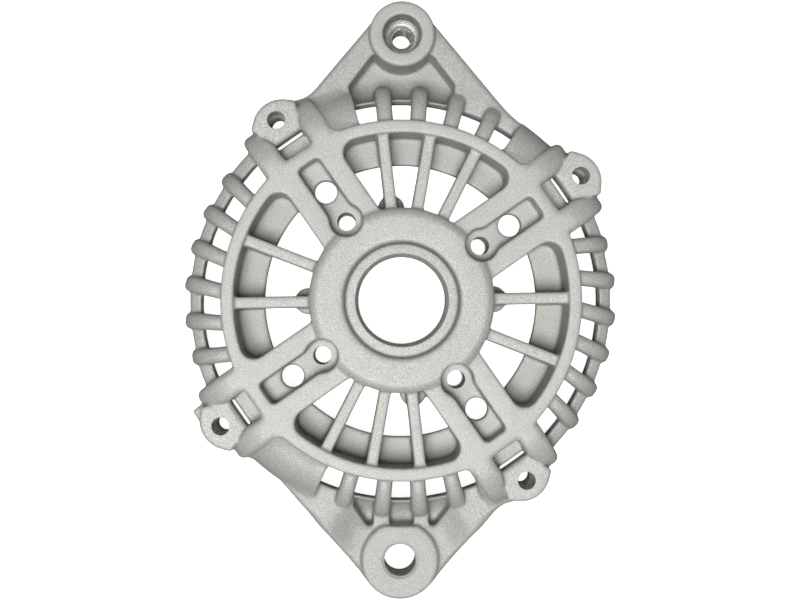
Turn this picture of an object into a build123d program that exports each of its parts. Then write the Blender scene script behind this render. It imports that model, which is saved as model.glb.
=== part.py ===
from build123d import *
from math import sin, cos, tan, radians, degrees, sqrt, atan2
import os

# Drive end bracket of an alternator: one aluminium die casting.
# Frame: origin on the shaft axis, in the plane of the rear rim (the face that
# meets the stator); +Z runs along the shaft out of the front of the alternator,
# +Y points at the threaded upper ear, all sizes in millimetres.

# ---------------------------------------------------------------- hub
hub_r = 31.0              # outer radius of the hub where the arms meet it
hub_rear_r = 30.2         # the hub narrows a little towards the rear
hub_rear_z = 6.0          # rear face of the hub
hub_front_z = 30.3        # domed annulus on the front of the hub
hub_lip_z = 31.0          # raised ring round the shaft opening
hub_lip_r = 18.7
hub_lip_foot_r = 19.6
hub_dish_z = 29.45        # the annulus dips a little where it meets the raised ring
hub_dish_r = 20.3
hub_dish_out_r = 23.5
hub_dome_r = 3.2          # rounding between annulus and side of the hub
shaft_hole_r = 14.5       # shaft opening, 29 mm
shaft_cone_r = 15.5       # drafted mouth of the shaft opening
shaft_cone_z = 26.5
shaft_land_z = 23.0       # the opening is wider again between here and the bearing
shaft_relief_r = 17.0
bearing_r = 23.5          # bearing seat for a 47 mm bearing
bearing_depth = 14.0

# ---------------------------------------------------------------- arms, ring, spokes
lug_angles = (35.0, 125.0, 215.0, 305.0)
front_z = 28.0            # front face of ring and arms
arm_half_w = 11.3
arm_rear_z = 12.0
ring_in_r = 56.0
ring_out_r = 60.4
ring_rear_z = 10.0
baffle_in_r = 46.6        # flat baffle ring behind the spokes
baffle_z = 12.5
baffle_t = 2.5
window_corner_r = 4.6     # corners of the openings at the ring
window_hub_corner_r = 1.3
spoke_w = 3.9
spoke_front_z = 26.6
spoke_rear_z = 14.0
spoke_angles = (63.6, 80.3, 96.7, 159.0, 181.1, 243.3, 259.9, 276.6, 338.9, 1.1)

# keyhole pocket on each arm, with the retainer screw hole and the vent hole
key_floor_z = 20.0
key_eye_r = 5.6
key_half_w = 4.25
key_end_r = 55.3
key_corner_r = 1.6
retainer_pcd_r = 32.5
retainer_hole_r = 3.1
retainer_hole_rear_r = 2.9
retainer_boss_rear_z = 5.2
retainer_boss_r = 6.6
vent_pcd_r = 44.7
vent_hole_r = 3.8
arm_web_t = 4.0           # web left between keyhole pocket and rear pocket

rear_pocket_in = 40.0     # pocket in the rear of each arm, round the vent hole
rear_pocket_out = 49.5
rear_pocket_half_w = 6.2

# four round cast bosses on the rear of the hub
rear_boss_angles = (1.1, 96.2, 180.5, 277.6)
rear_boss_pcd_r = 31.7
rear_boss_r = 4.5
rear_boss_top_z = 16.0

# ---------------------------------------------------------------- skirt, shoulder, fins
rim_in_r = 67.9           # inner edge of the rim at its front
rim_foot_r = 67.2         # the inner wall of the rim leans inwards down to here
rim_foot_z = 14.0
rim_rear_r = 69.7         # stator register at the rear face
register_depth = 5.0      # depth of the cylindrical stator register
rim_out_r = 71.9
rim_front_z = 17.5
rim_outer_edge_z = 15.5
shoulder_r = 74.1         # outer radius of the solid shoulder and of the fins
shoulder_top_z = 25.6     # where the shoulder leaves the ring wall
shoulder_side_z = 12.0    # where the shoulder turns into the side wall
cavity_top_z = 20.2       # air space between ring wall and rim
cavity_side_z = 9.0
cavity_r = 68.2
panel_corner_r = 2.2
panel_sectors = ((30.0, 56.0), (103.8, 131.0), (210.0, 246.1), (292.6, 311.0))
wide_rim_sectors = ((15.0, 27.0), (134.0, 146.0), (196.0, 208.0), (313.0, 327.0))
fin_w = 5.0               # width across the top of a fin
fin_draft = 0.032         # each side wall leans out by this much per mm of depth
fin_round = 2.1
fin_radial = (63.9, 74.45, 84.95, 95.3, 254.1, 264.95, 275.25, 285.8)
fin_swept = (147.05, 157.15, 167.25, 177.35, 187.45, 197.55,
             326.75, 336.9, 347.05, 357.25, 7.45, 17.75)
fin_sweep_deg = 11.5      # the side fins lean this much from the radius

# ---------------------------------------------------------------- lugs for the through bolts
lug_pcd_r = 73.93
lug_hole_r = 3.0
lug_round_r = 10.05       # rounded outer end of a lug
lug_round_u = 70.5        # its centre, measured out from the shaft axis
lug_front_z = 23.0
lug_base_z = 13.0
lug_pad_in = 66.75
ridge_end_r = 75.6        # the two ridges beside a lug end here
ridge_turn_z = 14.5
ridge_round = 1.6
ridge_outer_round = 2.4
notch_floor_z = 18.0
notch_rear_z = 14.5
notch_out = 65.55
notch_half_w = 5.75
slit_half_w = 5.2
tab_z = 14.0              # height of the small corner tab by the lower left lug

# ---------------------------------------------------------------- ears
ear_web_z = 17.5
upper_ear_y = 90.5
upper_boss_r = 11.2
upper_boss_z = 21.0
upper_counterbore_r = 6.55
upper_counterbore_floor_r = 5.95
upper_counterbore_floor_z = 14.0
upper_thread_r = 3.35     # minor radius of the M8 thread
upper_pocket_z = 5.0
upper_pocket_fillet = 9.0
pocket_lip = 0.9           # the rim in front of a pocket is a thin lip
lower_ear_y = -88.8
lower_boss_r = 13.3
lower_boss_z = 15.0
lower_plateau_z = 13.4     # the web sinks in a shallow bowl round the boss
bowl_profile = ((14.5, 13.4), (18.0, 13.75), (21.0, 14.75), (26.0, 17.0), (28.6, 17.51))   # distance from the boss axis, height
lower_hole_r = 5.4
lower_chamfer = 1.0
lower_recess_z = 7.0
lower_recess_fillet = 7.0
ear_edge_r = 1.5          # rounded outer edges of the two ear webs
boss_edge_r = 0.8
lug_edge_r = 0.9


def poly(points):
    return Face(Wire.make_polygon([Vector(x, y, 0) for x, y in points], close=True))


def prism(points, z0, z1):
    """Straight prism over a polygon in the XY plane."""
    return Pos(0, 0, z0) * extrude(poly(points), amount=z1 - z0, dir=(0, 0, 1))


def side_plate(edges_or_points, w0, w1):
    """Prism over a closed outline in the X (radial) / Z plane, from y=w0 to y=w1."""
    if isinstance(edges_or_points, Face):
        face = edges_or_points
    else:
        face = poly(edges_or_points)
    sheet = Plane.XZ * face
    return Pos(0, w1, 0) * extrude(sheet, amount=w1 - w0, dir=(0, -1, 0))


def spin(points):
    """Solid of revolution about Z of a polygon given as (r, z)."""
    face = Plane.XZ * poly(points)
    return revolve(face, axis=Axis.Z)


def arc_points(cx, cz, rx, rz, a0, a1, n):
    return [(cx + rx * cos(radians(a0 + (a1 - a0) * i / n)),
             cz + rz * sin(radians(a0 + (a1 - a0) * i / n))) for i in range(n + 1)]


def cyl(x, y, r, z0, z1):
    return Pos(x, y, (z0 + z1) / 2) * Cylinder(r, z1 - z0)


def tube(r_in, r_out, z0, z1):
    return cyl(0, 0, r_out, z0, z1) - cyl(0, 0, r_in, z0 - 1, z1 + 1)


def at(angle, r):
    return r * cos(radians(angle)), r * sin(radians(angle))


# ------------------------------------------------------------------ hub body
k = hub_dome_r
hub_face = Face(Wire([
    Line((0, hub_rear_z), (hub_rear_r, hub_rear_z)),
    Line((hub_rear_r, hub_rear_z), (hub_r, hub_front_z - k)),
    RadiusArc((hub_r, hub_front_z - k), (hub_r - k, hub_front_z), -k),
    Line((hub_r - k, hub_front_z), (hub_dish_out_r, hub_front_z)),
    Line((hub_dish_out_r, hub_front_z), (hub_dish_r, hub_dish_z)),
    Line((hub_dish_r, hub_dish_z), (hub_lip_foot_r, hub_dish_z)),
    Line((hub_lip_foot_r, hub_dish_z), (hub_lip_r, hub_lip_z)),
    Line((hub_lip_r, hub_lip_z), (0, hub_lip_z)),
    Line((0, hub_lip_z), (0, hub_rear_z)),
]))
hub = revolve(Plane.XZ * hub_face, axis=Axis.Z)

# ------------------------------------------------------------------ ring, baffle and arms
# one disc from hub to ring, with the four large openings between the arms cut out
disc = cyl(0, 0, ring_out_r, arm_rear_z, front_z)
for i, a in enumerate(lug_angles):
    nxt = lug_angles[(i + 1) % 4] if i < 3 else lug_angles[0] + 360
    h = arm_half_w
    R = 90.0
    # the region between this arm and the next one, bounded by their edges
    ux, uy = at(a, 1.0)
    vx, vy = at(nxt, 1.0)
    corner = None
    # the two edge lines cross near the hub
    p0 = (-uy * h, ux * h)                      # left edge of this arm
    q0 = (vy * h, -vx * h)                      # right edge of the next arm
    det = ux * (-vy) - (-vx) * uy
    t = ((q0[0] - p0[0]) * (-vy) - (-vx) * (q0[1] - p0[1])) / det
    corner = (p0[0] + ux * t, p0[1] + uy * t)
    far_a = (p0[0] + ux * R, p0[1] + uy * R)
    far_b = (q0[0] + vx * R, q0[1] + vy * R)
    wedge = poly([corner, far_a, (far_a[0] + far_b[0] - corner[0], far_a[1] + far_b[1] - corner[1]), far_b])
    opening = Sketch() + (wedge & Circle(ring_in_r).face()) - Circle(hub_r - 0.4)
    far = [v for v in opening.vertices() if sqrt(v.X ** 2 + v.Y ** 2) > ring_in_r - 2]
    near = [v for v in opening.vertices() if sqrt(v.X ** 2 + v.Y ** 2) < hub_r + 2]
    opening = fillet(far, window_corner_r)
    near = [v for v in opening.vertices() if sqrt(v.X ** 2 + v.Y ** 2) < hub_r + 2]
    opening = fillet(near, window_hub_corner_r)
    disc -= Pos(0, 0, arm_rear_z - 5) * extrude(opening, amount=front_z + 10, dir=(0, 0, 1))

# rear side of the disc: hollow between hub and ring behind the arms, down to the arm depth
ring = tube(ring_in_r, ring_out_r, ring_rear_z, front_z)
baffle = tube(baffle_in_r, ring_in_r + 1, baffle_z - baffle_t, baffle_z)

body = disc + ring + baffle + hub

for a in spoke_angles:
    spoke = Rot(0, 0, a) * Pos(43.0, 0, (spoke_rear_z + spoke_front_z) / 2) * \
        Box(28.6, spoke_w, spoke_front_z - spoke_rear_z)
    body += spoke
    foot = Rot(0, 0, a) * Pos(52.0, 0, (baffle_z + spoke_rear_z) / 2) * \
        Box(10.0, spoke_w, spoke_rear_z - baffle_z + 0.6)
    body += foot

# bosses for the bearing retainer screws and the plain cast bosses behind the hub
for a in lug_angles:
    x, y = at(a, retainer_pcd_r)
    body += cyl(x, y, retainer_boss_r, retainer_boss_rear_z, arm_rear_z + 6)
for a in rear_boss_angles:
    x, y = at(a, rear_boss_pcd_r)
    body += cyl(x, y, rear_boss_r, hub_rear_z, rear_boss_top_z)

# ------------------------------------------------------------------ skirt and shoulder
skirt = spin([(rim_foot_r, 0), (rim_out_r + 0.25, 0), (rim_out_r, rim_outer_edge_z),
              (rim_out_r - 0.7, rim_outer_edge_z + 1.0), (rim_in_r, rim_front_z), (rim_foot_r, rim_foot_z)])

ax = shoulder_r - ring_out_r
az = shoulder_top_z - shoulder_side_z
shoulder_face = Face(Wire([
    Line((ring_out_r - 2.0, 0), (shoulder_r + 0.25, 0)),
    Line((shoulder_r + 0.25, 0), (shoulder_r, shoulder_side_z)),
    EllipticalCenterArc((ring_out_r, shoulder_side_z), ax, az, start_angle=0, arc_size=90),
    Line((ring_out_r, shoulder_top_z), (ring_out_r - 2.0, shoulder_top_z)),
    Line((ring_out_r - 2.0, shoulder_top_z), (ring_out_r - 2.0, 0)),
]))
shoulder = revolve(Plane.XZ * shoulder_face, axis=Axis.Z)


def sector(a0, a1, r, z0, z1):
    n = max(2, int((a1 - a0) / 8) + 1)
    pts = [(0, 0)] + [at(a0 + (a1 - a0) * i / n, r) for i in range(n + 1)]
    return prism(pts, z0, z1)


panels = None
for a0, a1 in panel_sectors:
    piece = shoulder & sector(a0, a1, 100.0, -1.0, 40.0)
    panels = piece if panels is None else panels + piece


def fin(base_angle, sweep):
    """Rounded bar from the ring wall over the shoulder and down the skirt."""
    bx, by = at(base_angle, ring_out_r)
    # length along the leaning direction until the shoulder radius is reached
    c = cos(radians(sweep))
    length = -ring_out_r * c + sqrt((ring_out_r * c) ** 2 + shoulder_r ** 2 - ring_out_r ** 2)
    s = -2.5
    face = Face(Wire([
        Line((s, 0.0), (length + 0.25, 0.0)),
        Line((length + 0.25, 0.0), (length, shoulder_side_z)),
        EllipticalCenterArc((0, shoulder_side_z), length, az, start_angle=0, arc_size=90),
        Line((0, shoulder_top_z), (s, shoulder_top_z)),
        Line((s, shoulder_top_z), (s, 0.0)),
    ]))
    half_foot = fin_w / 2 + fin_draft * shoulder_top_z
    section = poly([(-half_foot, 0.0), (half_foot, 0.0), (fin_w / 2, shoulder_top_z),
                    (-fin_w / 2, shoulder_top_z)])
    tapered = Plane.YZ * section
    bar = side_plate(face, -8, 8) & (Pos(s - 1, 0, 0) * extrude(tapered, amount=length + 6, dir=(1, 0, 0)))
    edges = [e for e in bar.edges()
             if abs(e.center().Y) > 1.5 and e.center().X > 0.3 and e.center().Z > 1.0]
    bar = fillet(edges, fin_round)
    return Pos(bx, by, 0) * Rot(0, 0, base_angle - sweep) * bar


fins = None
for a in fin_radial:
    f = fin(a, 0.0)
    fins = f if fins is None else fins + f
for a in fin_swept:
    fins += fin(a, fin_sweep_deg)

# ------------------------------------------------------------------ ears
core = cyl(0, 0, rim_in_r, -5, 60)

upper_web = prism([(-9.4, 96.4), (-28.0, 74.1), (-29.7, 72.0), (-31.3, 70.5), (-33.5, 69.1),
                   (-36.4, 68.2), (-40.0, 67.9), (-42.0, 50.0), (0, 60.0), (46.0, 45.0), (53.6, 50.2),
                   (49.8, 53.9), (44.9, 57.9), (39.5, 61.9), (37.2, 63.9), (35.3, 65.9), (33.5, 67.9),
                   (28.4, 74.0), (9.6, 96.4), (0, 92)],
                  0, ear_web_z) - core


def rim_of(solid, z0, z1, r_min):
    """Top edges of a web along its free outline."""
    found = []
    for e in solid.edges():
        a, b, c = e.position_at(0), e.position_at(1), e.position_at(0.5)
        if min(a.Z, b.Z) > z0 and max(a.Z, b.Z) < z1 and sqrt(c.X ** 2 + c.Y ** 2) > r_min \
                and e.geom_type != GeomType.CIRCLE:
            found.append(e)
    return found


upper_web = fillet(rim_of(upper_web, ear_web_z - 0.05, ear_web_z + 0.05, 69.0), ear_edge_r)
upper_boss = cyl(0, upper_ear_y, upper_boss_r, 0, upper_boss_z)
upper_boss = fillet(upper_boss.edges().sort_by(Axis.Z)[-1], boss_edge_r)
pocket_outline = Face(Wire.make_polygon([Vector(x, y, 0) for x, y in
                      [(-17.6, 62.0), (-18.1, 73.2), (-10.2, 83.6), (-4.0, 86.5), (4.0, 86.5),
                       (10.6, 83.6), (18.1, 73.9), (17.6, 62.0)]], close=True))
upper_pocket = Pos(0, 0, upper_pocket_z) * extrude(pocket_outline, amount=20, dir=(0, 0, 1))
f = upper_pocket_fillet
lip_r = rim_in_r + pocket_lip
upper_slope = spin([(60.0, 0), (lip_r + f, 0), (lip_r + f, upper_pocket_z)] +
                   arc_points(lip_r + f, upper_pocket_z + f, f, f, 270, 180, 10)[1:] +
                   [(lip_r, 30.0), (60.0, 30.0)])
upper_ear = upper_web - (upper_pocket - upper_slope) + upper_boss

lower_edge_l = [(-49.7, -53.9), (-44.9, -57.9), (-42.3, -59.9), (-38.6, -63.9), (-31.8, -71.8),
                (-27.6, -77.0), (-24.6, -80.3), (-10.3, -97.2)]
lower_edge_r = [(10.7, -97.2), (24.9, -80.3), (28.2, -77.0), (32.4, -71.9), (33.7, -70.6),
                (36.0, -69.2), (39.0, -68.5), (44.0, -68.0)]
lower_outline = lower_edge_l + [(0, -89.5)] + lower_edge_r + [(42.0, -50.0), (0, -60.0), (-44.0, -46.0)]
lower_web = prism(lower_outline, 0, ear_web_z) - core
# the web sinks in a shallow bowl round the boss
bowl = Pos(0, lower_ear_y, 0) * spin([(0, lower_plateau_z)] + list(bowl_profile) + [(bowl_profile[-1][0], 40.0), (0, 40.0)])
lower_ear_body = fillet(rim_of(lower_web, ear_web_z - 0.05, ear_web_z + 0.05, 69.0), ear_edge_r) - bowl
lower_boss = cyl(0, lower_ear_y, lower_boss_r, 0, lower_boss_z) - \
    (Pos(0, -67.0, 20) * Box(60, 20.0, 60))
lower_boss = fillet([e for e in lower_boss.edges() if abs(e.center().Z - lower_boss_z) < 0.01
                     and e.geom_type == GeomType.CIRCLE], boss_edge_r)
lower_ear_body += lower_boss
recess_faces = [
    poly([(-15.9, -62.0), (-16.0, -70.2), (-11.6, -76.9), (-10.6, -77.3), (-9.3, -76.6), (-8.8, -62.0)]),
    poly([(-3.6, -62.0), (-3.6, -77.0), (4.6, -77.0), (4.6, -62.0)]),
    poly([(9.4, -62.0), (9.9, -76.6), (11.0, -77.3), (12.2, -76.9), (16.9, -70.2), (16.4, -62.0)]),
]
f = lower_recess_fillet
lower_slope = spin([(60.0, 0), (lip_r + f, 0), (lip_r + f, lower_recess_z)] +
                   arc_points(lip_r + f, lower_recess_z + f, f, f, 270, 180, 10)[1:] +
                   [(lip_r, 30.0), (60.0, 30.0)])
for rf in recess_faces:
    lower_ear_body -= (Pos(0, 0, lower_recess_z) * extrude(rf, amount=20, dir=(0, 0, 1))) - lower_slope

# ------------------------------------------------------------------ lugs
# everything here is laid out on the +X axis: u runs outwards, w across
flank = [(66.0, -19.0), (70.4, -15.8), (72.7, -12.9), (78.17, -6.48), (76.0, 0.0),
         (78.17, 6.48), (72.7, 12.9), (70.4, 15.8), (66.0, 19.0)]
lug_plan = prism(flank, 0, lug_front_z) + cyl(lug_round_u, 0, lug_round_r, 0, lug_front_z)
pad_plan = prism([(66.0, -5.2), (69.5, -5.9), (73.7, -8.2), (80.0, -10.4), (90.0, -10.4), (90.0, 10.4),
                  (80.0, 10.4), (73.7, 8.2), (69.5, 5.9), (66.0, 5.2)], -1, 40)
lug_low = lug_plan & prism([(60, -13.2), (90, -13.2), (90, 13.2), (60, 13.2)], -1, lug_base_z)
lug_pad = lug_plan & pad_plan
lug_pad = fillet([e for e in lug_pad.edges() if abs(e.center().Z - lug_front_z) < 0.01 and
                  e.center().X > 70.0 and abs(e.position_at(0).X - e.position_at(1).X) +
                  abs(e.position_at(0).Y - e.position_at(1).Y) > 0.4 and
                  (e.geom_type == GeomType.CIRCLE or e.center().X > 75.8)], lug_edge_r)
lug = lug_low + lug_pad


# one of the two rounded ridges that run from the ring down beside a lug
outline = poly([(54.0, 5.4), (66.8, 5.2), (80.0, 11.2), (80.0, 13.9), (54.0, 13.9)])
outline = fillet([v for v in outline.vertices() if 66.0 < v.X < 72.5], 4.0)
profile = Face(Wire([
    Line((50.0, 0.0), (ridge_end_r + 0.2, 0.0)),
    Line((ridge_end_r + 0.2, 0.0), (ridge_end_r, ridge_turn_z)),
    EllipticalCenterArc((ring_out_r, ridge_turn_z), ridge_end_r - ring_out_r, front_z - ridge_turn_z,
                        start_angle=0, arc_size=90),
    Line((ring_out_r, front_z), (50.0, front_z)),
    Line((50.0, front_z), (50.0, 0.0)),
]))
ridge = extrude(outline, amount=40, dir=(0, 0, 1)) & side_plate(profile, -20, 20)
top_edges = []
for e in ridge.edges():
    p0, p1, c = e.position_at(0), e.position_at(1), e.center()
    upright = abs(p0.X - p1.X) < 0.5 and abs(p0.Y - p1.Y) < 0.5
    across = abs(p0.X - p1.X) < 0.02 and abs(p0.Y - p1.Y) > 2.5
    if (upright and c.X > 74) or (not upright and not across and c.Z > 1 and c.X > 54.5):
        top_edges.append(e)
outer = [e for e in top_edges if min(e.position_at(0).Y, e.position_at(1).Y) > 13.0]
inner = [e for e in top_edges if min(e.position_at(0).Y, e.position_at(1).Y) < 13.0]
ridge = fillet(outer, ridge_outer_round)
ridge = fillet([e for e in ridge.edges() if any(
    (e.position_at(0.5) - f.position_at(0.5)).length < 0.6 for f in inner)], ridge_round)

lug_set = lug + ridge + mirror(ridge, about=Plane.XZ)
notch = Pos((ring_out_r + notch_out) / 2 - 0.5, 0, (notch_rear_z + notch_floor_z) / 2) * \
    Box(notch_out - ring_out_r + 1.0, 2 * notch_half_w + 1.5, notch_floor_z - notch_rear_z)

wide_skirt = spin([(rim_foot_r, 0), (rim_out_r + 0.8, 0), (rim_out_r + 0.55, rim_outer_edge_z),
                   (rim_out_r - 0.15, rim_outer_edge_z + 1.0), (rim_in_r, rim_front_z), (rim_foot_r, rim_foot_z)])
bell = skirt + panels
for a0, a1 in wide_rim_sectors:
    bell += wide_skirt & sector(a0, a1, 100.0, -1.0, 40.0)
# filled corners where a shoulder panel meets the ring wall and the ridge beside it
for a, side in ((lug_angles[0], 1), (lug_angles[1], -1), (lug_angles[2], 1), (lug_angles[3], -1)):
    r, w = panel_corner_r, 13.9
    # centre of the circle that touches the ring wall and the outer side of the ridge
    cw = w + r
    cu = sqrt((ring_out_r + r) ** 2 - cw ** 2)
    tu = ring_out_r / (ring_out_r + r)
    gusset = poly([(cu * tu, side * cw * tu), (cu * tu - 1.5, side * cw * tu * 0.99), (cu * tu - 1.5, side * (w - 0.6)),
                   (cu, side * (w - 0.6)), (cu, side * w)]) - Pos(cu, side * cw) * Circle(r)
    bell += Rot(0, 0, a) * Pos(0, 0, shoulder_side_z + 6) * extrude(gusset, amount=front_z - shoulder_side_z - 6, dir=(0, 0, 1))
# open the shoulder in front of each lug down to the notch floor, then set the lug in
for a in lug_angles:
    bell -= Rot(0, 0, a) * Pos((ring_out_r + lug_pad_in) / 2 + 4, 0, 30) * \
        Box(lug_pad_in - ring_out_r + 8, 2 * notch_half_w, 2 * (30 - notch_floor_z))
for a in lug_angles:
    bell += Rot(0, 0, a) * lug_set
# the pockets of the ears run on over the rim up to a thin lip
for tool in [(upper_pocket - upper_slope) & sector(56.4, 103.5, 90.0, 0.0, 40.0)] + \
        [(Pos(0, 0, lower_recess_z) * extrude(rf, amount=20, dir=(0, 0, 1))) - lower_slope for rf in recess_faces]:
    bell -= tool
bell += upper_ear
bell += lower_ear_body
bell += fins

# air space inside the bell, between ring wall and rim, widening to the rear
cavity_face = Face(Wire([
    Line((ring_out_r - 3.0, -2.0), (rim_rear_r, -2.0)),
    Line((rim_rear_r, -2.0), (rim_rear_r, register_depth)),
    Line((rim_rear_r, register_depth), (cavity_r + 0.3, register_depth)),
    Line((cavity_r + 0.3, register_depth), (cavity_r, cavity_side_z)),
    EllipticalCenterArc((ring_out_r, cavity_side_z), cavity_r - ring_out_r, cavity_top_z - cavity_side_z, start_angle=0, arc_size=90),
    Line((ring_out_r, cavity_top_z), (ring_out_r - 3.0, cavity_top_z)),
    Line((ring_out_r - 3.0, cavity_top_z), (ring_out_r - 3.0, -2.0)),
]))
cavity = revolve(Plane.XZ * cavity_face, axis=Axis.Z)
bell -= cavity
bell -= cyl(0, 0, ring_out_r - 3.0 + 0.01, -2, 40)

# the rim between fins starts at its own inner edge
for a in lug_angles:
    # slit between notch floor and lug pad
    bell -= Rot(0, 0, a) * Pos((notch_out + lug_pad_in) / 2, 0, 20) * \
        Box(lug_pad_in - notch_out, 2 * slit_half_w, 60)
for a in lug_angles:
    bell += Rot(0, 0, a) * notch

# small corner tab behind the lower left lug
bell += prism([(-71.2, -38.1), (-67.7, -43.3), (-60.5, -40.0), (-62.0, -31.5), (-64.2, -32.3)], 0, tab_z) - \
    cyl(0, 0, rim_rear_r, -1, 40)

body = body + bell

# ------------------------------------------------------------------ pockets and holes
key = Sketch() + Pos(retainer_pcd_r, 0) * Circle(key_eye_r) + \
    Pos((retainer_pcd_r + key_end_r) / 2, 0) * Rectangle(key_end_r - retainer_pcd_r, 2 * key_half_w)
ends = [v for v in key.vertices() if v.X > key_end_r - 1]
key = fillet(ends, key_corner_r)
necks = [v for v in key.vertices() if retainer_pcd_r + 1 < v.X < retainer_pcd_r + 8]
key = fillet(necks, 4.0)
for a in lug_angles:
    body -= Rot(0, 0, a) * Pos(0, 0, key_floor_z) * extrude(key, amount=20, dir=(0, 0, 1))
    # rear pocket round the vent hole
    body -= Rot(0, 0, a) * Pos((rear_pocket_in + rear_pocket_out) / 2, 0, (key_floor_z - arm_web_t) / 2) * \
        Box(rear_pocket_out - rear_pocket_in, 2 * rear_pocket_half_w, key_floor_z - arm_web_t)
    x, y = at(a, retainer_pcd_r)
    body -= cyl(x, y, retainer_hole_r, hub_rear_z, 40)
    body -= cyl(x, y, retainer_hole_rear_r, -1, 40)
    x, y = at(a, vent_pcd_r)
    body -= cyl(x, y, vent_hole_r, -1, 40)
    x, y = at(a, lug_pcd_r)
    body -= cyl(x, y, lug_hole_r, -1, 40)

# bearing seat and shaft opening
body -= cyl(0, 0, bearing_r, hub_rear_z - 5, hub_rear_z + bearing_depth)
body -= cyl(0, 0, shaft_hole_r, 0, 40)
body -= cyl(0, 0, shaft_relief_r, hub_rear_z + bearing_depth - 1, shaft_land_z)
body -= spin([(0, shaft_cone_z), (shaft_hole_r, shaft_cone_z), (shaft_cone_r, hub_lip_z),
              (shaft_cone_r + 0.3, hub_lip_z + 2), (0, hub_lip_z + 2)])

# ear holes
body -= cyl(0, upper_ear_y, upper_thread_r, -1, 40)
hx = upper_counterbore_floor_z
body -= Pos(0, upper_ear_y, 0) * spin([(0, hx), (upper_counterbore_floor_r, hx),
                                       (upper_counterbore_r, upper_boss_z), (upper_counterbore_r + 0.2, upper_boss_z + 2),
                                       (0, upper_boss_z + 2)])
body -= Pos(0, upper_ear_y, 0) * spin([(0, hx - 1.8), (upper_thread_r, hx - 1.8), (upper_thread_r + 1.3, hx),
                                       (upper_thread_r + 1.3, hx + 1), (0, hx + 1)])
body -= cyl(0, lower_ear_y, lower_hole_r, -1, 40)
body -= Pos(0, lower_ear_y, 0) * spin([(0, lower_boss_z - lower_chamfer), (lower_hole_r, lower_boss_z - lower_chamfer),
                                       (lower_hole_r + lower_chamfer, lower_boss_z), (lower_hole_r + lower_chamfer + 1, lower_boss_z + 1),
                                       (0, lower_boss_z + 1)])

solids = body.solids()
print("solids", len(solids), [round(s.volume) for s in solids])
bracket = max(solids, key=lambda s: s.volume)
bracket.label = "drive_end_bracket"
os.makedirs("parts", exist_ok=True)
export_step(bracket, "parts/drive_end_bracket.step")
bb = bracket.bounding_box()
print("box", [round(v, 2) for v in (bb.min.X, bb.min.Y, bb.min.Z, bb.max.X, bb.max.Y, bb.max.Z)])
print("valid", bracket.is_valid, "volume", round(bracket.volume))
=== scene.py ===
import bpy
import bmesh
import math
import time
import numpy as np
import openvdb
from mathutils import Matrix, Vector


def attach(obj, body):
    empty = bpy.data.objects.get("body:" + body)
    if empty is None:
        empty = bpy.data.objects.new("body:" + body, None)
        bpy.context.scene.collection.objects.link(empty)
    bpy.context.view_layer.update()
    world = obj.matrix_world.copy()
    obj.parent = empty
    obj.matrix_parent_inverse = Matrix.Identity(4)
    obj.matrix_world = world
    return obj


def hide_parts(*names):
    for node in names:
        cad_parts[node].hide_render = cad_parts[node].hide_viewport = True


T0 = time.time()
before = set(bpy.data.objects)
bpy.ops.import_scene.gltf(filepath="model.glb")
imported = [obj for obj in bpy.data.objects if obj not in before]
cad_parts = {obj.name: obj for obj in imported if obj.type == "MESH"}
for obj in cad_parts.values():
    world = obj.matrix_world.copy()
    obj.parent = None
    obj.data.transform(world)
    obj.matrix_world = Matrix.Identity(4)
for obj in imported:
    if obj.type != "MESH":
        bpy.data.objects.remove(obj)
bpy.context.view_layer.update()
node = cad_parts["drive_end_bracket"]
scene = bpy.context.scene
MM = 0.001


def say(text):
    print("[%6.1f s] %s" % (time.time() - T0, text))


# ---------------------------------------------------------------------------
# The casting. The node's own surface is turned into a distance field, and the
# field is smoothed: flat faces stay where they are, outer edges become rounded
# and inner corners filled, as on a die casting. Bores, threads and the rear
# face are cut crisply afterwards, as they are machined on the real part.
# All lengths below are millimetres until the mesh is finished.
# ---------------------------------------------------------------------------
VOX = 0.3
SIGMA = 0.42              # rounding of the casting
BAND = 6
PITCH = 1.25              # M8 thread in the upper ear


def node_triangles(obj):
    me = obj.data
    me.calc_loop_triangles()
    co = np.empty(len(me.vertices) * 3, np.float32)
    me.vertices.foreach_get("co", co)
    tri = np.empty(len(me.loop_triangles) * 3, np.int32)
    me.loop_triangles.foreach_get("vertices", tri)
    return co.reshape(-1, 3).astype(np.float64) / MM, tri.reshape(-1, 3)


points, triangles = node_triangles(node)
# the rear plane is carried on downwards, so that its edge stays sharp when it is cut
deep = points.copy()
deep[deep[:, 2] < 0.02, 2] = -3.0
key = np.round(deep * 500).astype(np.int64)
_, first, back = np.unique(key, axis=0, return_index=True, return_inverse=True)
weld = np.ascontiguousarray(deep[first], dtype=np.float32)
faces = back.reshape(-1)[triangles].astype(np.uint32)
ok = (faces[:, 0] != faces[:, 1]) & (faces[:, 1] != faces[:, 2]) & (faces[:, 0] != faces[:, 2])
faces = np.ascontiguousarray(faces[ok])
grid = openvdb.FloatGrid.createLevelSetFromPolygons(
    weld, triangles=faces, transform=openvdb.createLinearTransform(VOX), halfWidth=BAND)
lo, hi = grid.evalActiveVoxelBoundingBox()
lo, hi = np.array(lo) - 3, np.array(hi) + 3
shape = tuple(int(v) for v in hi - lo + 1)
field = np.full(shape, BAND * VOX, np.float32)
grid.copyToArray(field, ijk=tuple(int(v) for v in lo))
del grid
axis_x = (np.arange(shape[0]) + lo[0]) * VOX
axis_y = (np.arange(shape[1]) + lo[1]) * VOX
axis_z = (np.arange(shape[2]) + lo[2]) * VOX
say("distance field %s" % (shape,))


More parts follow.
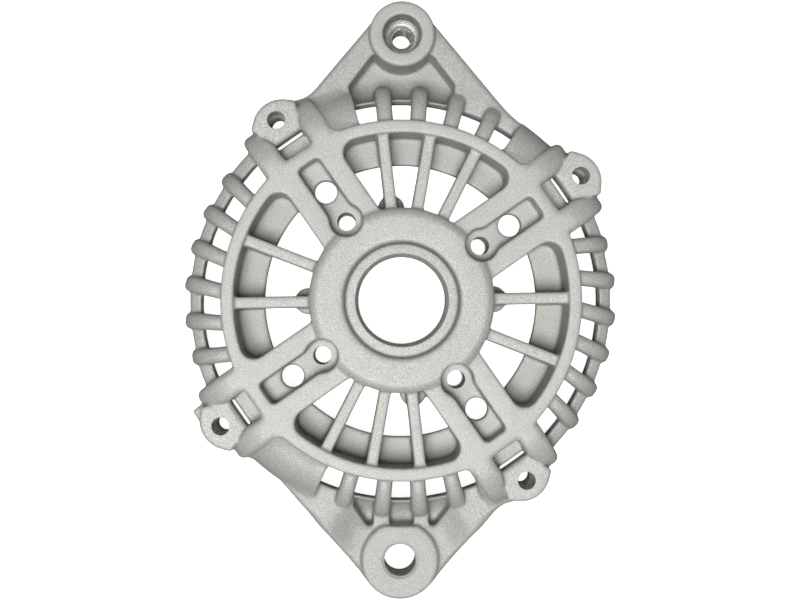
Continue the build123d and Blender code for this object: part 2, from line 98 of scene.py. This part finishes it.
def window(x0, x1, y0, y1, z0, z1):
    """Slices of the field over a box in millimetres, and the coordinates in it."""
    s = (slice(*np.searchsorted(axis_x, (x0, x1))), slice(*np.searchsorted(axis_y, (y0, y1))),
         slice(*np.searchsorted(axis_z, (z0, z1))))
    return s, axis_x[s[0]][:, None, None], axis_y[s[1]][None, :, None], axis_z[s[2]][None, None, :]


def plug(cx, cy, r, z0, z1):
    """Fills a bore flush with the faces round it, so that it can be drilled afterwards."""
    m = r + BAND * VOX
    s, x, y, z = window(cx - m, cx + m, cy - m, cy + m, z0 - BAND * VOX, z1 + BAND * VOX)
    d = np.maximum(np.hypot(x - cx, y - cy) - r, np.maximum(z0 - z, z - z1))
    field[s] = np.minimum(field[s], d.astype(np.float32))


def at(angle, r):
    return r * math.cos(math.radians(angle)), r * math.sin(math.radians(angle))


LUGS = (35.0, 125.0, 215.0, 305.0)
for a in LUGS:
    plug(*at(a, 73.93), 3.4, -3.0, 23.0)        # through-bolt holes
    plug(*at(a, 32.5), 3.5, 5.2, 20.0)          # retainer screw holes
plug(0.0, 90.5, 5.2, -3.0, 14.0)                # tapped hole of the upper ear
plug(0.0, -88.8, 6.6, -3.0, 15.0)               # plain hole of the lower ear
plug(0.0, 0.0, 23.9, 6.0, 21.0)                 # bearing seat
plug(0.0, 0.0, 20.0, 19.0, 29.3)               # shaft opening
# the raised ring round the shaft opening is turned, so it is put back afterwards
s_, x_, y_, z_ = window(-27, 27, -27, 27, 26, 35)
r_ = np.hypot(x_, y_)
dish = 30.3 - 0.32 * np.exp(-np.clip(r_ - 18.9, 0.0, None) ** 2 / (2 * 1.0 ** 2)) - \
    1.35 * np.exp(-(r_ - 18.76) ** 2 / (2 * 0.34 ** 2))
field[s_] = np.where(r_ < 26.0, np.maximum(np.minimum(field[s_], np.maximum(z_ - 30.3, 25.0 - z_)), z_ - dish),
                     field[s_]).astype(np.float32)


def smooth(a, sigma_mm):
    s = sigma_mm / VOX
    n = max(1, int(math.ceil(3.0 * s)))
    w = np.exp(-0.5 * (np.arange(-n, n + 1) / s) ** 2)
    w = (w / w.sum()).astype(np.float32)
    for axis in range(3):
        src = np.moveaxis(a, axis, 0)
        out = src * w[n]
        for k in range(1, n + 1):
            out[k:] += src[:-k] * w[n + k]
            out[:k] += src[:1] * w[n + k]
            out[:-k] += src[k:] * w[n + k]
            out[-k:] += src[-1:] * w[n + k]
        a = np.moveaxis(out, 0, axis)
    return np.ascontiguousarray(a)


soft = smooth(field, SIGMA)


def polar(x, y):
    return np.hypot(x, y), np.degrees(np.arctan2(y, x)) % 360.0


def blend(s, weight, other):
    soft[s] = (soft[s] + weight * (other - soft[s])).astype(np.float32)


# where a shoulder panel meets the ring wall and the ridges the corner is well filled
PANELS = ((46.0, 58.0), (102.5, 118.0), (221.5, 247.5), (291.5, 299.0))
for a0, a1 in PANELS:
    pts = np.array([at(a, r) for a in np.linspace(a0 - 3, a1 + 3, 9) for r in (57.0, 79.0)])
    s_, x_, y_, z_ = window(pts[:, 0].min() - 2, pts[:, 0].max() + 2, pts[:, 1].min() - 2, pts[:, 1].max() + 2, 12.0, 32.0)
    filled = np.minimum(soft[s_], smooth(np.ascontiguousarray(field[s_]), 2.1))
    r_, t_ = polar(x_, y_)
    w_ = np.clip((r_ - 58.5) / 1.5, 0, 1) * np.clip((78.0 - r_) / 2.0, 0, 1) * np.clip((t_ - a0) / 2.0, 0, 1) * \
        np.clip((a1 - t_) / 2.0, 0, 1) * np.clip((z_ - 13.0) / 2.0, 0, 1)
    blend(s_, w_, filled)
# the front edges over the notches beside the lugs are well rounded
for a in LUGS:
    cx_, cy_ = at(a, 61.5)
    s_, x_, y_, z_ = window(cx_ - 11, cx_ + 11, cy_ - 11, cy_ + 11, 21.0, 32.0)
    u_ = x_ * math.cos(math.radians(a)) + y_ * math.sin(math.radians(a))
    v_ = -x_ * math.sin(math.radians(a)) + y_ * math.cos(math.radians(a))
    w_ = np.clip((u_ - 57.0) / 1.0, 0, 1) * np.clip((69.0 - u_) / 1.5, 0, 1) * np.clip((8.6 - np.abs(v_)) / 1.0, 0, 1) * \
        np.clip((z_ - 22.0) / 1.0, 0, 1)
    blend(s_, w_, np.maximum(soft[s_], smooth(np.ascontiguousarray(field[s_]), 0.95)))
# the lower ear web runs into its bowl without an edge, and its rim is round
s_, x_, y_, z_ = window(-46.0, 46.0, -104.0, -64.0, 6.0, 22.0)
wide = smooth(np.ascontiguousarray(field[s_]), 1.1)
r_, t_ = polar(x_, y_)
away = np.hypot(x_, y_ + 88.8)
w_ = np.clip((r_ - 77.0) / 2.0, 0, 1) * np.clip((away - 13.4) / 1.0, 0, 1) * np.clip((z_ - 8.0) / 2.0, 0, 1) * \
    np.clip((1.0 - np.abs(x_) / 47.0) * 20, 0, 1)
blend(s_, w_, np.maximum(soft[s_], wide))
del wide, filled, w_, field
made = openvdb.FloatGrid(BAND * VOX)
made.transform = openvdb.createLinearTransform(VOX)
made.copyFromArray(soft, ijk=tuple(int(v) for v in lo), tolerance=0.0)
verts, tris, quads = made.convertToPolygons(isovalue=0.0, adaptivity=0.01)
del made
say("surface %d points, %d triangles, %d quads" % (len(verts), len(tris), len(quads)))


def sample(p):
    """Field values at points in millimetres, trilinear."""
    q = p / VOX - lo
    i = np.clip(np.floor(q).astype(np.int64), 0, np.array(shape) - 2)
    f = np.clip(q - i, 0, 1)
    out = np.zeros(len(p))
    for dx in (0, 1):
        for dy in (0, 1):
            for dz in (0, 1):
                w = ((f[:, 0] if dx else 1 - f[:, 0]) * (f[:, 1] if dy else 1 - f[:, 1]) *
                     (f[:, 2] if dz else 1 - f[:, 2]))
                out += w * soft[i[:, 0] + dx, i[:, 1] + dy, i[:, 2] + dz]
    return out


def gradient(p, h=None):
    h = 0.9 * VOX if h is None else h
    g = np.empty((len(p), 3))
    for k in range(3):
        e = np.zeros(3)
        e[k] = h
        g[:, k] = (sample(p + e) - sample(p - e)) / (2 * h)
    return g


def make_mesh(name, co, polys):
    """Mesh object from points and integer arrays of triangles and quads."""
    me = bpy.data.meshes.new(name)
    loops = np.concatenate([p.reshape(-1) for p in polys]).astype(np.int32)
    sizes = np.concatenate([np.full(len(p), p.shape[1], np.int32) for p in polys])
    starts = np.concatenate([[0], np.cumsum(sizes)[:-1]]).astype(np.int32)
    me.vertices.add(len(co))
    me.vertices.foreach_set("co", np.ascontiguousarray(co, dtype=np.float32).reshape(-1))
    me.loops.add(len(loops))
    me.loops.foreach_set("vertex_index", loops)
    me.polygons.add(len(sizes))
    me.polygons.foreach_set("loop_start", starts)
    me.update(calc_edges=True)
    me.validate()
    obj = bpy.data.objects.new(name, me)
    scene.collection.objects.link(obj)
    return obj


def apply_all(obj):
    bpy.context.view_layer.update()
    dg = bpy.context.evaluated_depsgraph_get()
    me = bpy.data.meshes.new_from_object(obj.evaluated_get(dg), depsgraph=dg)
    old = obj.data
    obj.modifiers.clear()
    obj.data = me
    bpy.data.meshes.remove(old)


casting = make_mesh("bracket_casting", verts, [p for p in (np.asarray(tris), np.asarray(quads)) if len(p)])
LIMIT = 148000
count = sum(len(p.vertices) - 2 for p in casting.data.polygons)
if count > LIMIT:
    m = casting.modifiers.new("fewer", "DECIMATE")
    m.ratio = LIMIT / count
    m.use_collapse_triangulate = True
    apply_all(casting)
# the points that are left go back onto the smooth surface
co = np.empty(len(casting.data.vertices) * 3, np.float32)
casting.data.vertices.foreach_get("co", co)
co = co.reshape(-1, 3).astype(np.float64)
for _ in range(3):
    g = gradient(co)
    n2 = np.maximum((g * g).sum(1), 0.05)
    step = (sample(co) / n2)[:, None] * g
    size = np.linalg.norm(step, axis=1, keepdims=True)
    co -= step * np.minimum(1.0, 0.12 / np.maximum(size, 1e-9))
casting.data.vertices.foreach_set("co", co.astype(np.float32).reshape(-1))
casting.data.update()
say("thinned %d -> %d triangles" % (count, len(casting.data.polygons)))


# ---------------------------------------------------------------------------
# Materials
# ---------------------------------------------------------------------------
def new_material(name):
    m = bpy.data.materials.new(name)
    m.use_nodes = True
    nt = m.node_tree
    for n in list(nt.nodes):
        nt.nodes.remove(n)
    out = nt.nodes.new("ShaderNodeOutputMaterial")
    bsdf = nt.nodes.new("ShaderNodeBsdfPrincipled")
    nt.links.new(bsdf.outputs["BSDF"], out.inputs["Surface"])
    return m, nt, bsdf


def noise(nt, vector, scale, detail=2.0, rough=0.5, dims="3D"):
    n = nt.nodes.new("ShaderNodeTexNoise")
    n.noise_dimensions = dims
    n.inputs["Scale"].default_value = scale
    n.inputs["Detail"].default_value = detail
    n.inputs["Roughness"].default_value = rough
    nt.links.new(vector, n.inputs["Vector"])
    return n.outputs["Fac"]


def remap(nt, value, a, b, c, d):
    n = nt.nodes.new("ShaderNodeMapRange")
    n.clamp = True
    for k, v in (("From Min", a), ("From Max", b), ("To Min", c), ("To Max", d)):
        n.inputs[k].default_value = v
    nt.links.new(value, n.inputs["Value"])
    return n.outputs["Result"]


def math_node(nt, op, a, b):
    n = nt.nodes.new("ShaderNodeMath")
    n.operation = op
    for i, v in enumerate((a, b)):
        if isinstance(v, (int, float)):
            n.inputs[i].default_value = v
        else:
            nt.links.new(v, n.inputs[i])
    return n.outputs["Value"]


def ramp(nt, value, stops):
    n = nt.nodes.new("ShaderNodeValToRGB")
    cr = n.color_ramp
    while len(cr.elements) < len(stops):
        cr.elements.new(0.5)
    for e, (pos, col) in zip(cr.elements, stops):
        e.position = pos
        e.color = (*col, 1.0)
    nt.links.new(value, n.inputs["Fac"])
    return n.outputs["Color"]


def scaled(nt, colour, factor):
    n = nt.nodes.new("ShaderNodeVectorMath")
    n.operation = "SCALE"
    nt.links.new(colour, n.inputs[0])
    nt.links.new(factor, n.inputs["Scale"])
    return n.outputs["Vector"]


def bump(nt, height, strength, distance, normal=None):
    n = nt.nodes.new("ShaderNodeBump")
    n.inputs["Strength"].default_value = strength
    n.inputs["Distance"].default_value = distance
    nt.links.new(height, n.inputs["Height"])
    if normal is not None:
        nt.links.new(normal, n.inputs["Normal"])
    return n.outputs["Normal"]


# shot-blasted die casting: a fine hammered grain, faint clouds, a few darker pits
cast, nt, bsdf = new_material("cast_aluminium_blasted")
tc = nt.nodes.new("ShaderNodeTexCoord").outputs["Object"]
grain = noise(nt, tc, 4150.0, 0.0, 0.5)
clouds = noise(nt, tc, 60.0, 3.0, 0.55)
pits = noise(nt, tc, 2600.0, 1.0, 0.5)
tone = math_node(nt, "ADD", math_node(nt, "MULTIPLY", grain, 0.92), math_node(nt, "MULTIPLY", clouds, 0.08))
colour = ramp(nt, tone, [(0.26, (0.310, 0.313, 0.287)), (0.50, (0.470, 0.474, 0.442)), (0.74, (0.638, 0.643, 0.605))])
# painted shade: an ambient occlusion mask darkens the colour in corners and creases, and the colour is also darker
# lower down on the part, where shade falls
painted_shade_ao = nt.nodes.new("ShaderNodeAmbientOcclusion")
painted_shade_ao.samples = 8
painted_shade_ao.only_local = True
painted_shade_ao.inputs["Distance"].default_value = 0.0019
painted_shade_height = nt.nodes.new("ShaderNodeSeparateXYZ")
nt.links.new(tc, painted_shade_height.inputs["Vector"])
# painted shade factor: darker in corners and creases, and darker lower down
shade = math_node(nt, "MULTIPLY", remap(nt, painted_shade_ao.outputs["AO"], 0.22, 0.90, 0.32, 1.0),
                  remap(nt, painted_shade_height.outputs["Z"], 0.0155, 0.0240, 0.86, 1.0))
nt.links.new(scaled(nt, colour, shade), bsdf.inputs["Base Color"])
nt.links.new(remap(nt, pits, 0.3, 0.7, 0.50, 0.66), bsdf.inputs["Roughness"])
bsdf.inputs["Metallic"].default_value = 0.26
height = math_node(nt, "ADD", math_node(nt, "MULTIPLY", grain, 0.7), math_node(nt, "MULTIPLY", pits, 0.6))
nt.links.new(bump(nt, height, 0.55, 0.00009), bsdf.inputs["Normal"])

# turned and drilled surfaces: brighter, with fine tool lines
turned, nt, bsdf = new_material("machined_aluminium")
tc = nt.nodes.new("ShaderNodeTexCoord").outputs["Object"]
lines = nt.nodes.new("ShaderNodeTexWave")
lines.wave_type = "BANDS"
lines.bands_direction = "Z"
lines.inputs["Scale"].default_value = 1500.0
lines.inputs["Distortion"].default_value = 0.6
lines.inputs["Detail"].default_value = 1.0
nt.links.new(tc, lines.inputs["Vector"])
speck = noise(nt, tc, 1500.0, 2.0, 0.5)
colour = ramp(nt, speck, [(0.3, (0.56, 0.55, 0.505)), (0.7, (0.74, 0.73, 0.685))])
nt.links.new(colour, bsdf.inputs["Base Color"])
nt.links.new(remap(nt, speck, 0.3, 0.7, 0.42, 0.56), bsdf.inputs["Roughness"])
bsdf.inputs["Metallic"].default_value = 0.35
nt.links.new(bump(nt, lines.outputs["Fac"], 0.35, 0.00003), bsdf.inputs["Normal"])

# the tapped hole and its counterbore: darker, streaky metal with turning marks
tapped, nt, bsdf = new_material("tapped_aluminium")
tc = nt.nodes.new("ShaderNodeTexCoord").outputs["Object"]
marks = nt.nodes.new("ShaderNodeTexWave")
marks.wave_type = "BANDS"
marks.bands_direction = "Z"
marks.inputs["Scale"].default_value = 900.0
marks.inputs["Distortion"].default_value = 2.5
marks.inputs["Detail"].default_value = 2.0
marks.inputs["Detail Scale"].default_value = 3.0
nt.links.new(tc, marks.inputs["Vector"])
streak = noise(nt, tc, 900.0, 3.0, 0.6)
colour = ramp(nt, math_node(nt, "ADD", math_node(nt, "MULTIPLY", streak, 0.6), math_node(nt, "MULTIPLY", marks.outputs["Fac"], 0.4)),
              [(0.30, (0.20, 0.195, 0.175)), (0.52, (0.40, 0.395, 0.370)), (0.72, (0.66, 0.655, 0.63))])
nt.links.new(colour, bsdf.inputs["Base Color"])
nt.links.new(remap(nt, streak, 0.3, 0.7, 0.32, 0.50), bsdf.inputs["Roughness"])
bsdf.inputs["Metallic"].default_value = 0.55
nt.links.new(bump(nt, marks.outputs["Fac"], 0.5, 0.00006), bsdf.inputs["Normal"])

casting.data.materials.append(cast)
casting.data.materials.append(turned)
casting.data.materials.append(tapped)


# ---------------------------------------------------------------------------
# Machining
# ---------------------------------------------------------------------------
def lathe(name, rows, seg, centre=(0.0, 0.0), material=None):
    """Closed solid of revolution from rows of (radius or radii, z); the ends close on the axis."""
    th = np.arange(seg) * 2 * math.pi / seg
    co, quads = [], []
    for r, z in rows:
        r = np.broadcast_to(np.asarray(r, float), (seg,))
        z = np.broadcast_to(np.asarray(z, float), (seg,))
        co.append(np.stack([centre[0] + r * np.cos(th), centre[1] + r * np.sin(th), z], 1))
    n = len(rows)
    co = np.concatenate(co + [np.array([[centre[0], centre[1], float(np.mean(rows[0][1]))],
                                        [centre[0], centre[1], float(np.mean(rows[-1][1]))]])])
    k = np.arange(seg)
    k1 = (k + 1) % seg
    for i in range(n - 1):
        a, b = i * seg, (i + 1) * seg
        quads.append(np.stack([a + k, a + k1, b + k1, b + k], 1))
    bottom = np.stack([np.full(seg, n * seg), k1, k], 1)
    top = np.stack([np.full(seg, n * seg + 1), (n - 1) * seg + k, (n - 1) * seg + k1], 1)
    obj = make_mesh(name, co, [np.concatenate(quads), bottom, top])
    obj.data.materials.append(material or turned)
    return obj


def block(name, x0, x1, y0, y1, z0, z1, material=None):
    co = np.array([(x, y, z) for z in (z0, z1) for y in (y0, y1) for x in (x0, x1)], float)
    q = np.array([(0, 2, 3, 1), (4, 5, 7, 6), (0, 1, 5, 4), (2, 6, 7, 3), (0, 4, 6, 2), (1, 3, 7, 5)])
    obj = make_mesh(name, co, [q])
    obj.data.materials.append(material or turned)
    return obj


def thread(rows_z, r_in, r_out, pitch, seg, start=0.0):
    """Rows of a V thread for lathe(): crests at r_in, grooves out to r_out."""
    th = np.arange(seg) / seg
    rows = []
    for z in rows_z:
        f = np.mod(z / pitch - th + start, 1.0)
        t = np.clip((0.5 - np.abs(f - 0.5)) * 2.0 * 1.25 - 0.125, 0.0, 1.0)
        rows.append((r_in + (r_out - r_in) * t, z))
    return rows


def combine(obj, tool, operation):
    before = len(obj.data.polygons)
    m = obj.modifiers.new("cut", "BOOLEAN")
    m.operation = operation
    m.solver = "MANIFOLD"
    m.material_mode = "TRANSFER"
    m.object = tool
    apply_all(obj)
    bpy.data.objects.remove(tool)
    if len(obj.data.polygons) < 0.5 * before:
        raise RuntimeError("a cut went wrong: %d faces left of %d" % (len(obj.data.polygons), before))


SEG = 96
# raised ring round the shaft opening
ring = lathe("ring", [(18.0, 27.0), (18.94, 27.2), (18.92, 28.4), (18.88, 29.3), (18.82, 29.9), (18.72, 30.35), (18.58, 30.66),
                      (18.40, 30.86), (18.20, 30.96), (17.90, 31.0)], 180, material=cast)
combine(casting, ring, "UNION")
# rear plane and stator register
combine(casting, block("rear", -120, 120, -140, 140, -30, 0.0), "DIFFERENCE")
combine(casting, lathe("register", [(70.3, -1.0), (70.3, 0.0), (69.7, 0.6), (69.7, 5.0)], 3 * SEG), "DIFFERENCE")
# bearing seat, relief and shaft opening in one piece
combine(casting, lathe("bore", [(24.3, 4.0), (24.3, 6.0), (23.5, 6.8), (23.5, 20.0), (17.0, 20.0), (17.0, 23.0),
                                (14.5, 23.0), (14.5, 26.5), (15.5, 30.85), (15.7, 31.0), (15.7, 33.0)], 2 * SEG), "DIFFERENCE")
# tapped hole and counterbore of the upper ear
rows = thread(np.arange(-0.6, 11.81, PITCH / 7), 3.24, 3.94, PITCH, 64)
rows += [(4.02, 12.0)]
for i in range(1, 9):
    t = i / 8.0
    rows.append((4.02 + 1.9 * t, 12.25 + 1.75 * t + (0.17 if i % 2 else 0.0)))
rows += [(6.03, 14.25), (6.55, 20.9), (6.75, 21.2), (6.75, 23.0)]
combine(casting, lathe("ear_thread", rows, 64, (0.0, 90.5), tapped), "DIFFERENCE")
# plain hole of the lower ear, chamfered at both ends
combine(casting, lathe("ear_bore", [(6.2, -1.0), (6.2, 0.0), (5.4, 0.8), (5.4, 14.0), (6.4, 15.0), (6.4, 17.0)], SEG, (0.0, -88.8)),
        "DIFFERENCE")
for i, a in enumerate(LUGS):
    rows = [(3.3, -1.0), (3.3, 0.0)] + thread(np.arange(0.4, 14.01, 0.25), 2.78, 3.08, 1.0, 32) + \
        [(3.0, 14.4), (3.0, 22.8), (3.2, 23.0), (3.2, 25.0)]
    combine(casting, lathe("bolt_hole", rows, 32, at(a, 73.93)), "DIFFERENCE")
    rows = [(2.9, 3.0), (2.9, 6.0), (3.1, 6.0), (3.1, 19.85), (3.25, 20.0), (3.25, 22.0)]
    combine(casting, lathe("screw_hole", rows, 48, at(a, 32.5)), "DIFFERENCE")
say("machined, %d faces" % len(casting.data.polygons))


# ---------------------------------------------------------------------------
# Shading normals: from the field on the casting, by angle on what is machined
# ---------------------------------------------------------------------------
def finish_normals(obj):
    bm = bmesh.new()
    bm.from_mesh(obj.data)
    bmesh.ops.triangulate(bm, faces=[f for f in bm.faces if len(f.verts) > 3])
    bmesh.ops.dissolve_degenerate(bm, dist=0.006, edges=bm.edges[:])
    bmesh.ops.triangulate(bm, faces=[f for f in bm.faces if len(f.verts) > 3])
    loose = [v for v in bm.verts if not v.link_faces]
    bmesh.ops.delete(bm, geom=loose, context="VERTS")
    limit = math.radians(33)
    for f in bm.faces:
        f.smooth = True
    for e in bm.edges:
        if len(e.link_faces) != 2:
            e.smooth = False
            continue
        a, b = e.link_faces
        if a.material_index != b.material_index:
            e.smooth = False
        elif a.material_index >= 1:
            e.smooth = e.calc_face_angle(0.0) < limit
        else:
            e.smooth = e.calc_face_angle(0.0) < math.radians(75)
    bm.to_mesh(obj.data)
    bm.free()
    me = obj.data
    me.update()
    n = len(me.vertices)
    co = np.empty(n * 3, np.float32)
    me.vertices.foreach_get("co", co)
    g = gradient(co.reshape(-1, 3).astype(np.float64), 0.75 * VOX)
    size = np.linalg.norm(g, axis=1, keepdims=True)
    g = np.where(size > 0.15, g / np.maximum(size, 1e-9), 0.0)
    d = np.abs(sample(co.reshape(-1, 3).astype(np.float64)))
    g[d > 0.12] = 0.0
    lv = np.empty(len(me.loops), np.int32)
    me.loops.foreach_get("vertex_index", lv)
    mat = np.empty(len(me.polygons), np.int32)
    me.polygons.foreach_get("material_index", mat)
    tot = np.empty(len(me.polygons), np.int32)
    me.polygons.foreach_get("loop_total", tot)
    face_n = np.empty(len(me.polygons) * 3, np.float32)
    me.polygons.foreach_get("normal", face_n)
    fn = np.repeat(face_n.reshape(-1, 3), tot, axis=0)
    ln = g[lv]
    ln[np.repeat(mat, tot) >= 1] = 0.0
    ln[(ln * fn).sum(1) < 0.35] = 0.0
    me.normals_split_custom_set([tuple(v) for v in ln])
    return me


finish_normals(casting)
say("normals, %d faces" % len(casting.data.polygons))
casting.data.transform(Matrix.Scale(MM, 4))
casting.data.update()

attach(casting, "root")
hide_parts("drive_end_bracket")

# ---------------------------------------------------------------------------
# Stage: pale floor, soft light, camera over the bracket
# ---------------------------------------------------------------------------
def plane(name, half, z):
    me = bpy.data.meshes.new(name)
    me.from_pydata([(-half, -half, z), (half, -half, z), (half, half, z), (-half, half, z)], [], [(0, 1, 2, 3)])
    obj = bpy.data.objects.new(name, me)
    scene.collection.objects.link(obj)
    return obj


def plain(name, colour, emission):
    m, nt, bsdf = new_material(name)
    bsdf.inputs["Base Color"].default_value = (colour, colour, colour, 1.0)
    bsdf.inputs["Roughness"].default_value = 0.9
    bsdf.inputs["Specular IOR Level"].default_value = 0.1
    bsdf.inputs["Emission Color"].default_value = (1.0, 1.0, 1.0, 1.0)
    bsdf.inputs["Emission Strength"].default_value = emission
    return m


# the floor is a lit white table; what it throws back on the bracket is set apart from it
floor = plane("floor", 6.0, -0.0004)
floor.data.materials.append(plain("pale_floor", 0.60, 0.95))
floor.visible_diffuse = False
floor.visible_glossy = False
floor.visible_shadow = False
table = plane("table", 6.0, -0.0012)
table.data.materials.append(plain("table_bounce", 0.17, 0.0))
table.visible_camera = False


def walls(name, half, top, emission):
    corners = [(-half, -half), (half, -half), (half, half), (-half, half)]
    me = bpy.data.meshes.new(name)
    me.from_pydata([(x, y, z) for z in (-0.0004, top) for x, y in corners], [],
                   [(i, (i + 1) % 4, 4 + (i + 1) % 4, 4 + i) for i in range(4)])
    obj = bpy.data.objects.new(name, me)
    scene.collection.objects.link(obj)
    obj.data.materials.append(plain(name + "_white", 0.60, emission))
    obj.visible_shadow = False
    return obj


# white walls far away, and apart from them the little light they give from the side
backdrop = walls("backdrop", 6.0, 4.0, 0.95)
backdrop.visible_diffuse = False
backdrop.visible_glossy = False
side_light = walls("side_light", 5.8, 3.8, 0.27)
side_light.visible_camera = False


def softbox(name, location, target, size, watts):
    data = bpy.data.lights.new(name, "AREA")
    data.shape = "DISK"
    data.size = size
    data.energy = watts
    obj = bpy.data.objects.new(name, data)
    obj.location = location
    obj.rotation_mode = "QUATERNION"
    obj.rotation_quaternion = (Vector(target) - Vector(location)).to_track_quat("-Z", "Y")
    scene.collection.objects.link(obj)
    return obj


softbox("top_light", (-0.38, -0.74, 3.50), (0.0, 0.0, 0.0), 1.80, 132.0)
world = bpy.data.worlds.new("studio")
world.use_nodes = True
bg = world.node_tree.nodes["Background"]
bg.inputs["Color"].default_value = (1.0, 1.0, 1.0, 1.0)
bg.inputs["Strength"].default_value = 0.04
scene.world = world

# the camera looks almost straight down, a little off the middle of the bracket
tx, ty, roll = -0.0117133, 0.0227339, -0.0032795
cx, sx, cy, sy, cr, sr = (math.cos(tx), math.sin(tx), math.cos(ty), math.sin(ty), math.cos(roll), math.sin(roll))
rx = np.array([[1, 0, 0], [0, cx, -sx], [0, sx, cx]])
ry = np.array([[cy, 0, sy], [0, 1, 0], [-sy, 0, cy]])
rz = np.array([[cr, -sr, 0], [sr, cr, 0], [0, 0, 1]])
turn = (rz @ rx @ ry).T
cam_data = bpy.data.cameras.new("camera")
cam_data.sensor_fit = "HORIZONTAL"
cam_data.sensor_width = 36.0
cam_data.lens = 1352.8 / 800 * 36.0
cam_data.clip_start = 0.01
cam_data.clip_end = 20.0
camera = bpy.data.objects.new("camera", cam_data)
camera.matrix_world = Matrix([[*turn[0], -0.0108485], [*turn[1], -0.0051876], [*turn[2], 0.478], [0, 0, 0, 1]])
scene.collection.objects.link(camera)
scene.camera = camera

scene.view_settings.view_transform = "Standard"
scene.view_settings.look = "None"
scene.view_settings.exposure = 0.0
scene.view_settings.gamma = 1.0

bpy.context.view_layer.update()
say("done")
